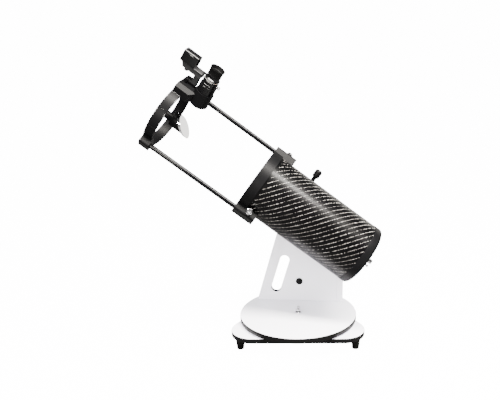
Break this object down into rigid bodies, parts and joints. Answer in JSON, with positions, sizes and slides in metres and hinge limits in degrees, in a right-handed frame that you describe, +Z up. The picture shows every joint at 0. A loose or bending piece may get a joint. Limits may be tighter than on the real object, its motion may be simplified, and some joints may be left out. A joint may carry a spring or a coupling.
{
  "type": "dobsonian telescope",
  "caption": "Table-top Dobsonian reflector: collapsible two-strut tube with focuser and sighting finder on a single-arm rocker base that turns and tilts.",
  "frame": {"origin": "centre of the object's box on the floor, under the feet", "axes": "+Z up; the tube looks towards -X and up at rest; the arm board stands on the +Y side and the open side of the tube faces -Y"},
  "size_m": [0.6806, 0.4016, 0.8635],
  "materials": {
    "laminate": "satin",
    "banding": "satin",
    "rubber": "matte",
    "steel": "satin",
    "chrome": "polished",
    "nylon": "matte",
    "tube_black": "gloss",
    "anodised": "satin",
    "black_plastic": "satin",
    "gloss_black": "gloss",
    "grey_plastic": "matte",
    "glass": "polished",
    "mirror": "polished"
  },
  "bodies": {
    "ground": {"ground_board": "laminate", "ground_edge": "banding", "foot_left": "rubber", "foot_right": "rubber", "foot_back": "rubber", "foot_screws": "steel", "bearing_pads": "nylon", "azimuth_bolt": "chrome", "azimuth_washer": "chrome", "azimuth_nut": "chrome"},
    "rocker": {"turntable": "laminate", "turntable_edge": "banding", "azimuth_bush": "nylon", "arm_board": "laminate", "arm_stiffener": "laminate", "arm_screws": "steel", "arm_cap": "rubber", "altitude_bush": "nylon"},
    "cradle": {"saddle": "anodised", "friction_disc": "nylon", "altitude_bolt": "steel"},
    "tension_knob": {"tension_knob": "black_plastic"},
    "saddle_jaw": {"saddle_jaw": "steel"},
    "clamp_knob": {"clamp_knob": "black_plastic"},
    "tube": {"dovetail_bar": "anodised", "main_tube": "tube_black", "front_collar": "black_plastic", "rear_cap": "black_plastic", "cell_lock_screws": "chrome"},
    "upper_lock_screw": {"upper_lock_screw": "chrome"},
    "lower_lock_screw": {"lower_lock_screw": "chrome"},
    "mirror_cell": {"mirror_cell": "steel", "primary_mirror": "mirror", "mirror_clips": "steel", "cell_springs": "steel"},
    "collimation_screw_a": {"collimation_screw_a": "chrome"},
    "collimation_screw_b": {"collimation_screw_b": "chrome"},
    "collimation_screw_c": {"collimation_screw_c": "chrome"},
    "cage": {"upper_strut": "tube_black", "lower_strut": "tube_black", "upper_ring": "black_plastic", "secondary_stalk": "anodised", "secondary_holder": "black_plastic", "secondary_mirror": "mirror", "secondary_screws": "chrome", "focuser_housing": "black_plastic", "finder_shoe": "black_plastic"},
    "focus_ring": {"focus_ring": "black_plastic"},
    "drawtube": {"drawtube": "anodised"},
    "eyepiece_thumbscrew": {"eyepiece_thumbscrew": "chrome"},
    "eyepiece": {"eyepiece_barrel": "chrome", "eyepiece_body": "anodised", "eyecup": "rubber", "eye_lens": "glass"},
    "finder_bracket": {"finder_bracket": "grey_plastic"},
    "finder_pan_knob": {"finder_pan_knob": "black_plastic"},
    "finder": {"finder_body": "grey_plastic", "finder_window": "glass"},
    "finder_tilt_knob": {"finder_tilt_knob": "black_plastic"},
    "finder_switch": {"finder_switch": "black_plastic"}
  },
  "joints": [
    {"name": "azimuth", "type": "hinge", "parent": "ground", "child": "rocker", "pos_m": [0.0923, -0.0198, 0.057], "axis": [0, 0, 1], "continuous": true},
    {"name": "altitude", "type": "hinge", "parent": "rocker", "child": "cradle", "pos_m": [0.0923, -0.0583, 0.4175], "axis": [0, 1, 0], "range_deg": [-34, 53]},
    {"name": "tension_knob_turn", "type": "hinge", "parent": "cradle", "child": "tension_knob", "pos_m": [0.0923, 0.0909, 0.4175], "axis": [0, 1, 0], "range_deg": [-180, 360]},
    {"name": "clamp_knob_turn", "type": "hinge", "parent": "cradle", "child": "clamp_knob", "pos_m": [0.1237, 0.0412, 0.46887], "axis": [0.5906, 0, 0.807], "range_deg": [0, 720.1]},
    {"name": "saddle_jaw_slide", "type": "slide", "parent": "cradle", "child": "saddle_jaw", "axis": [0.5906, 0, 0.807], "range_m": [0, 0.0025]},
    {"name": "balance_slide", "type": "slide", "parent": "cradle", "child": "tube", "axis": [-0.807, 0, 0.5906], "range_m": [-0.02, 0.02]},
    {"name": "upper_lock_turn", "type": "hinge", "parent": "tube", "child": "upper_lock_screw", "pos_m": [0.05674, 0.00318, 0.54839], "axis": [0.1429, 0.9703, 0.1952], "range_deg": [-360, 0]},
    {"name": "lower_lock_turn", "type": "hinge", "parent": "tube", "child": "lower_lock_screw", "pos_m": [-0.04322, -0.11978, 0.41182], "axis": [0.3471, -0.809, 0.4743], "range_deg": [-360, 0]},
    {"name": "mirror_cell_slide", "type": "slide", "parent": "tube", "child": "mirror_cell", "axis": [-0.807, 0, 0.5906], "range_m": [-0.0015, 0.0015]},
    {"name": "collimation_a_turn", "type": "hinge", "parent": "tube", "child": "collimation_screw_a", "pos_m": [0.30352, -0.11819, 0.2828], "axis": [-0.807, 0, 0.5906], "range_deg": [-540.1, 540.1]},
    {"name": "collimation_b_turn", "type": "hinge", "parent": "tube", "child": "collimation_screw_b", "pos_m": [0.25867, -0.04225, 0.22152], "axis": [-0.807, 0, 0.5906], "range_deg": [-540.1, 540.1]},
    {"name": "collimation_c_turn", "type": "hinge", "parent": "tube", "child": "collimation_screw_c", "pos_m": [0.31993, -0.01446, 0.30523], "axis": [-0.807, 0, 0.5906], "range_deg": [-540.1, 540.1]},
    {"name": "cage_slide", "type": "slide", "parent": "tube", "child": "cage", "axis": [0.807, 0, -0.5906], "range_m": [0, 0.19]},
    {"name": "focus_turn", "type": "hinge", "parent": "cage", "child": "focus_ring", "pos_m": [-0.14455, -0.09689, 0.75762], "axis": [0.5677, -0.2756, 0.7757], "range_deg": [0, 2520.1]},
    {"name": "drawtube_slide", "type": "slide", "parent": "cage", "child": "drawtube", "axis": [0.5677, -0.2756, 0.7757], "range_m": [0, 0.014]},
    {"name": "eyepiece_thumbscrew_turn", "type": "hinge", "parent": "drawtube", "child": "eyepiece_thumbscrew", "pos_m": [-0.11762, -0.10213, 0.76054], "axis": [0.807, 0, -0.5906], "range_deg": [-360, 0]},
    {"name": "eyepiece_slide", "type": "slide", "parent": "drawtube", "child": "eyepiece", "axis": [0.5677, -0.2756, 0.7757], "range_m": [0, 0.03]},
    {"name": "finder_pan", "type": "hinge", "parent": "cage", "child": "finder_bracket", "pos_m": [-0.19365, -0.076, 0.77519], "axis": [0.5677, -0.2756, 0.7757], "range_deg": [-3, 3]},
    {"name": "finder_pan_knob_turn", "type": "hinge", "parent": "finder_bracket", "child": "finder_pan_knob", "pos_m": [-0.19916, -0.08478, 0.7812], "axis": [-0.1628, -0.9613, -0.2224], "range_deg": [-361, 361]},
    {"name": "finder_tilt", "type": "hinge", "parent": "finder_bracket", "child": "finder", "pos_m": [-0.17365, -0.08178, 0.78557], "axis": [-0.1628, -0.9613, -0.2224], "range_deg": [-1.5, 1.5]},
    {"name": "finder_tilt_knob_turn", "type": "hinge", "parent": "finder", "child": "finder_tilt_knob", "pos_m": [-0.2027, -0.08178, 0.80684], "axis": [0.5677, -0.2756, 0.7757], "range_deg": [-361, 361]},
    {"name": "finder_switch_turn", "type": "hinge", "parent": "finder", "child": "finder_switch", "pos_m": [-0.17045, -0.07191, 0.8035], "axis": [0.1628, 0.9613, 0.2224], "range_deg": [0, 270]}
  ],
  "couplings": [
    {"joint": "clamp_knob_turn", "follows": "saddle_jaw_slide", "rad_per_m": 5026.5},
    {"joint": "collimation_a_turn", "follows": "mirror_cell_slide", "rad_per_m": -6283.2},
    {"joint": "collimation_b_turn", "follows": "mirror_cell_slide", "rad_per_m": -6283.2},
    {"joint": "collimation_c_turn", "follows": "mirror_cell_slide", "rad_per_m": -6283.2},
    {"joint": "focus_turn", "follows": "drawtube_slide", "rad_per_m": 3141.6},
    {"joint": "finder_pan_knob_turn", "follows": "finder_pan", "ratio": 120},
    {"joint": "finder_tilt_knob_turn", "follows": "finder_tilt", "ratio": 240}
  ]
}
